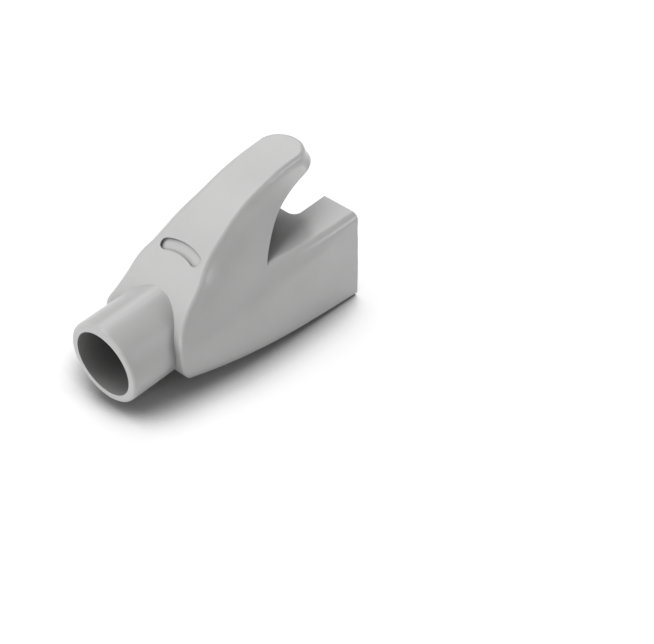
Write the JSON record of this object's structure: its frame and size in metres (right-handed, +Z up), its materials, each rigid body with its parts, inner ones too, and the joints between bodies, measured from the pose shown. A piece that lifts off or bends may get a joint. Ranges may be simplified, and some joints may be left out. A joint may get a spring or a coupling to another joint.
{
  "type": "rj45 strain relief boot",
  "caption": "Moulded plastic boot that slides over a patch cable's plug, with an open mouth for the plug, a cable tube at the back and a curved hook over the plug's latch.",
  "frame": {"origin": "middle of the outer size, on the surface the boot rests on, base down and hook up", "axes": "+Y towards the plug mouth, -Y towards the cable tube, +Z up towards the hook, +X to the side"},
  "size_m": [0.0148, 0.027, 0.0163],
  "materials": {
    "body": "light grey moulded plastic, satin"
  },
  "bodies": {
    "root": {"boot": "body"}
  },
  "joints": []
}
